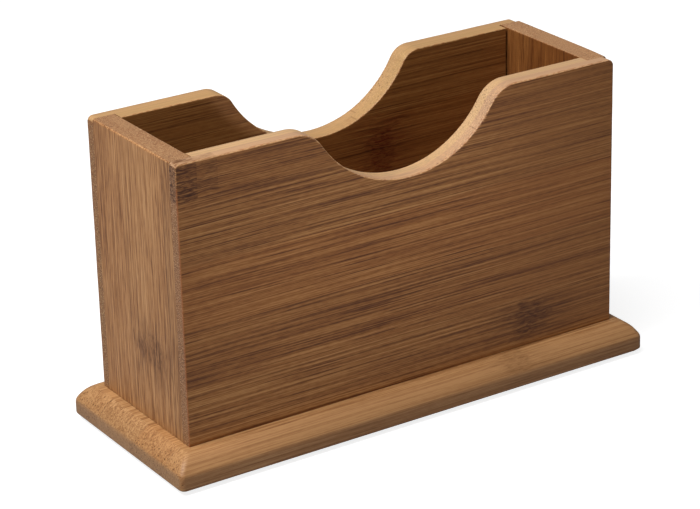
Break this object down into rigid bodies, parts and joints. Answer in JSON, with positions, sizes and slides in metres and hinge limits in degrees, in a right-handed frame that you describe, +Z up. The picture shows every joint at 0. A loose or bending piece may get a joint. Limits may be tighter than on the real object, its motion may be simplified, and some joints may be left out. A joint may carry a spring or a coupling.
{
  "type": "napkin holder",
  "caption": "Upright open-topped bamboo napkin holder: rabbeted box with a scooped front and back, on a base board with a moulded edge and rubber feet.",
  "frame": {"origin": "on the table, under the middle of the box: the centre of the bounding box's lowest face", "axes": "+X along the length to the right of someone who faces the front board, +Y from the front board to the back board, +Z up"},
  "size_m": [0.2086, 0.0826, 0.1208],
  "materials": {
    "bamboo": "caramelised laminated bamboo, clear satin lacquer",
    "screw_steel": "zinc-plated steel",
    "foot_rubber": "matt dark rubber"
  },
  "bodies": {
    "root": {"front_board": "bamboo", "back_board": "bamboo", "left_end_board": "bamboo", "right_end_board": "bamboo", "base_board": "bamboo", "base_screws": "screw_steel", "front_left_foot": "foot_rubber", "front_right_foot": "foot_rubber", "back_left_foot": "foot_rubber", "back_right_foot": "foot_rubber"}
  },
  "joints": []
}
